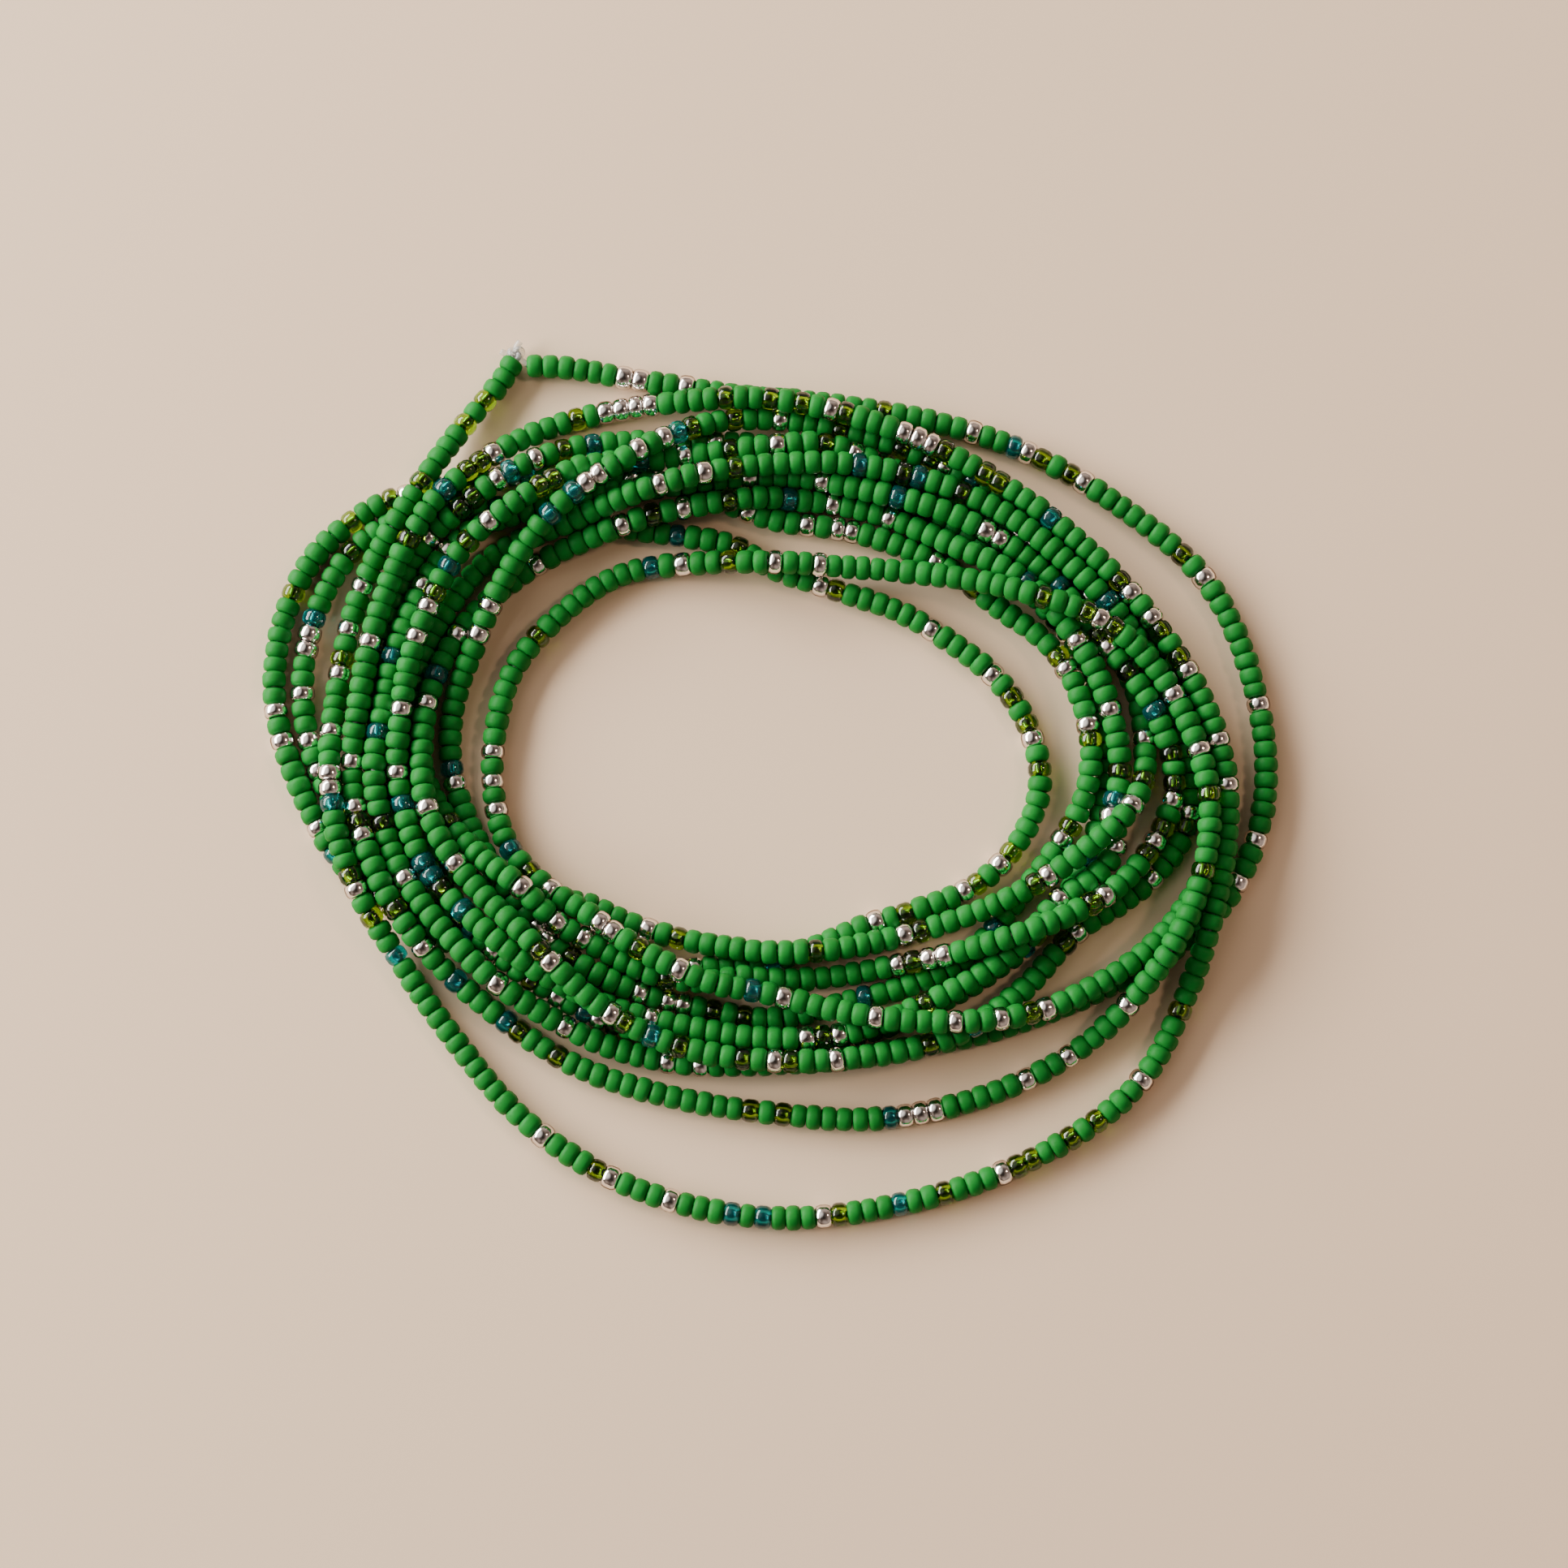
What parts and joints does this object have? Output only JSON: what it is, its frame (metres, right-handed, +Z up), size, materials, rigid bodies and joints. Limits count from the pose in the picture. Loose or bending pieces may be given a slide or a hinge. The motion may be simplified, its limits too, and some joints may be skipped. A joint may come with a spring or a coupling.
{
  "type": "stretch bracelet",
  "caption": "Long stretch bracelet of small round glass seed beads on knotted clear elastic, lying in a loose oval coil of many turns around an open middle",
  "frame": {"origin": "on the surface that the coil lies on, under the middle of its outline", "axes": "+X along the coil's long way, +Y away from the viewer towards the knot's side, +Z up"},
  "size_m": [0.0978, 0.087, 0.007],
  "materials": {
    "bead_green": "opaque, matte",
    "bead_olive": "clear coloured glass with a silvered hole",
    "bead_teal": "clear coloured glass with a silvered hole",
    "bead_silver": "clear glass with a silvered hole",
    "elastic": "clear stretch cord"
  },
  "bodies": {
    "root": {"bead_string": "bead_green", "elastic_knot": "elastic"}
  },
  "joints": []
}
